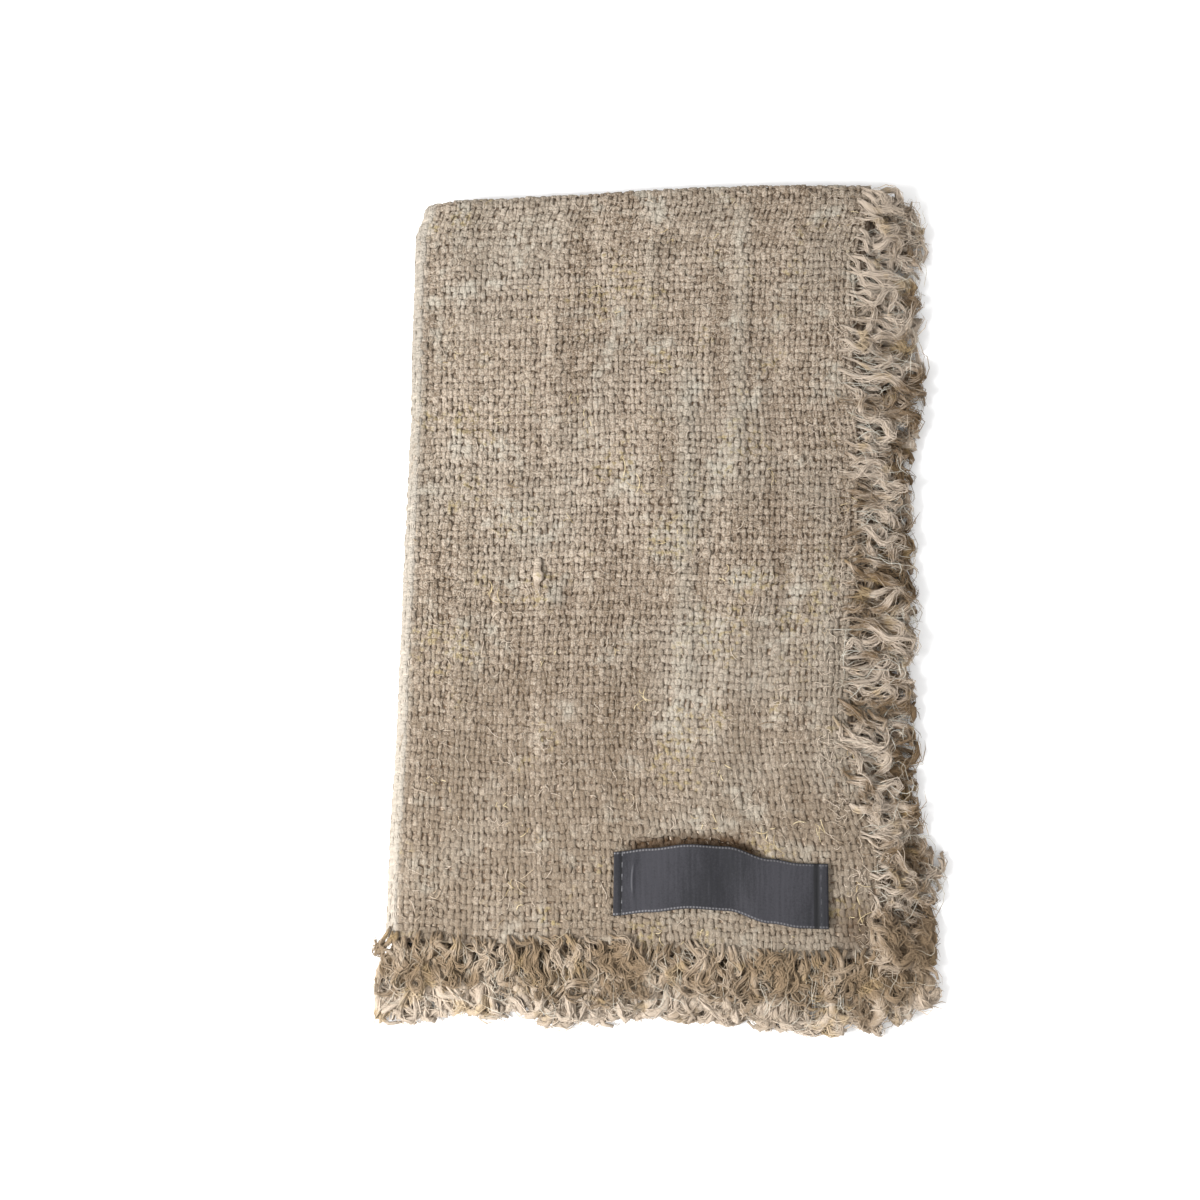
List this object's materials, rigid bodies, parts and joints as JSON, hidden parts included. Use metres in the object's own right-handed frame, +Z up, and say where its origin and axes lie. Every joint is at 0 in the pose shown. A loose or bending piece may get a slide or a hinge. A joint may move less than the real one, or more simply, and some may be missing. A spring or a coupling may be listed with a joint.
{
  "type": "linen placemat",
  "caption": "Thick natural linen placemat with frayed edges, folded in quarters, with a plain dark woven label sewn near one corner.",
  "frame": {"origin": "middle of the whole outline, on the surface that the folded placemat lies on", "axes": "+Z up out of the folded face, +Y along the longer side towards the first fold, +X from the round second fold towards the frayed side with the label"},
  "size_m": [0.1758, 0.2814, 0.0101],
  "materials": {
    "linen": "coarse plain weave of natural undyed linen, matt, with slubs",
    "fringe": "loose curly frayed linen yarn, matt",
    "label": "dark grey woven satin tape with a soft sheen"
  },
  "bodies": {
    "root": {"cloth": "linen", "fringe_right_upper": "fringe", "fringe_right_lower": "fringe", "fringe_near_outer": "fringe", "fringe_near_inner": "fringe", "label": "label"}
  },
  "joints": []
}
